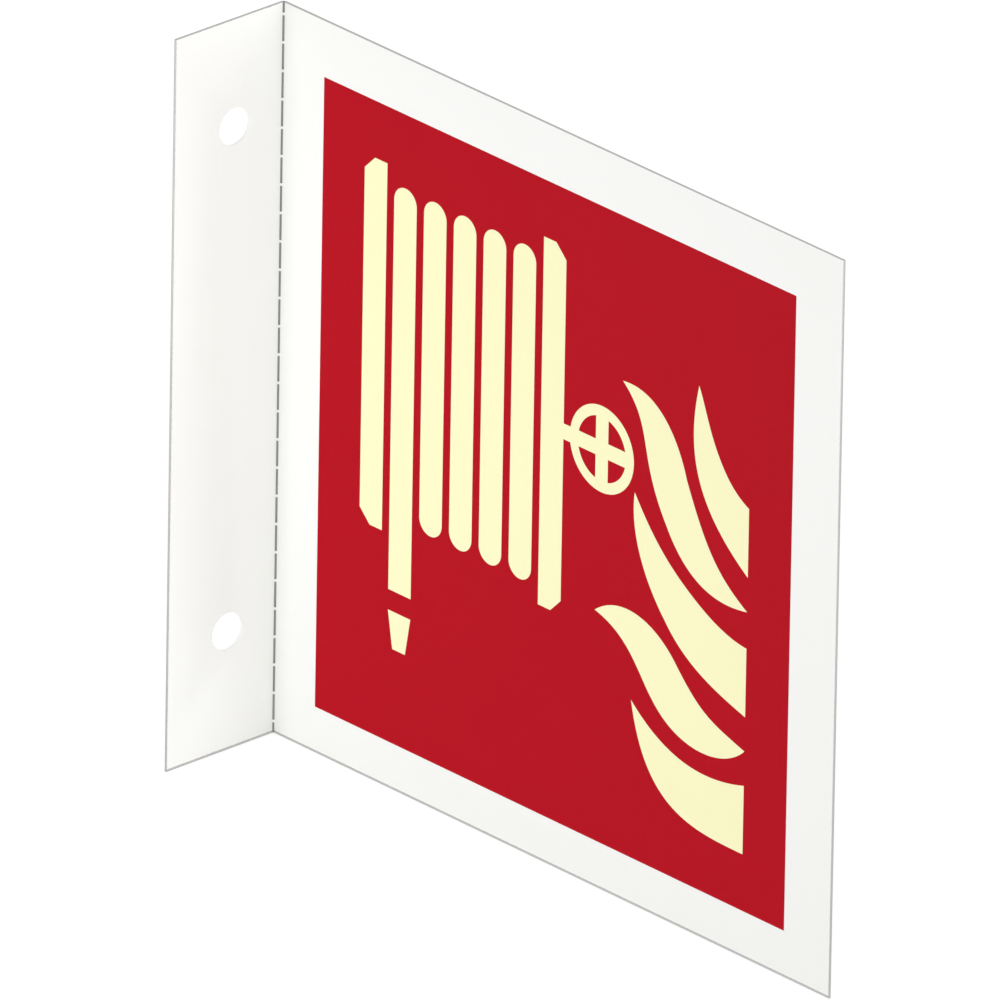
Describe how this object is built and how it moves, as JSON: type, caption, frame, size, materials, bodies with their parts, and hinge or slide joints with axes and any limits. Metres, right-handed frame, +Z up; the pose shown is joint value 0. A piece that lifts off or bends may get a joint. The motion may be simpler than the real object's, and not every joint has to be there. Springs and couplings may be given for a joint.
{
  "type": "fire hose reel sign",
  "caption": "Projecting wall sign for a fire hose reel: a thin sheet folded square, with a screwed flange and a panel printed on both faces.",
  "frame": {"origin": "midway between the two screw holes, on the face of the flange that touches the wall", "axes": "+Z up, +Y into the wall, the panel stands out along -Y and the flange runs from the fold towards -X"},
  "size_m": [0.0276, 0.1535, 0.15],
  "materials": {
    "coated_sheet": "thin aluminium sheet with a satin white coat, bare at its cut edges",
    "red_print": "signal red print, satin",
    "cream_print": "pale cream luminescent print, satin"
  },
  "bodies": {
    "root": {"sheet": "coated_sheet", "front_field": "red_print", "front_symbol": "cream_print", "back_field": "red_print", "back_symbol": "cream_print"}
  },
  "joints": []
}
